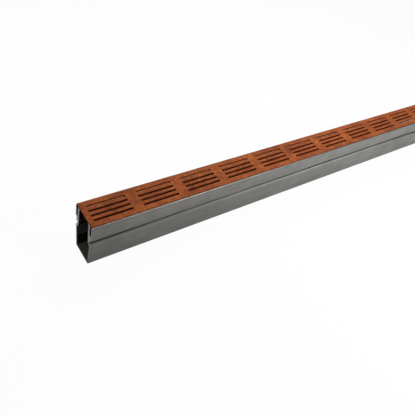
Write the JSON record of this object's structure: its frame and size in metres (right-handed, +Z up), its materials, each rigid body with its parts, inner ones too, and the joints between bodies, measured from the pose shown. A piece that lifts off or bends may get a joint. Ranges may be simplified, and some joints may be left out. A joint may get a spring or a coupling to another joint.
{
  "type": "channel drain",
  "caption": "Slim linear drainage channel in extruded aluminium, open at both ends, with a slotted weathering-steel grate resting between its edges.",
  "frame": {"origin": "middle of the underside of the channel", "axes": "+X along the channel, +Y across it, +Z up towards the grate"},
  "size_m": [1, 0.06, 0.1019],
  "materials": {
    "channel": "plain extruded aluminium, dull satin grey with fine draw lines along its length",
    "grate": "weathering steel with an even matt orange-brown rust layer, darker on the cut edges"
  },
  "bodies": {
    "root": {"channel_body": "channel", "grate": "grate"}
  },
  "joints": []
}
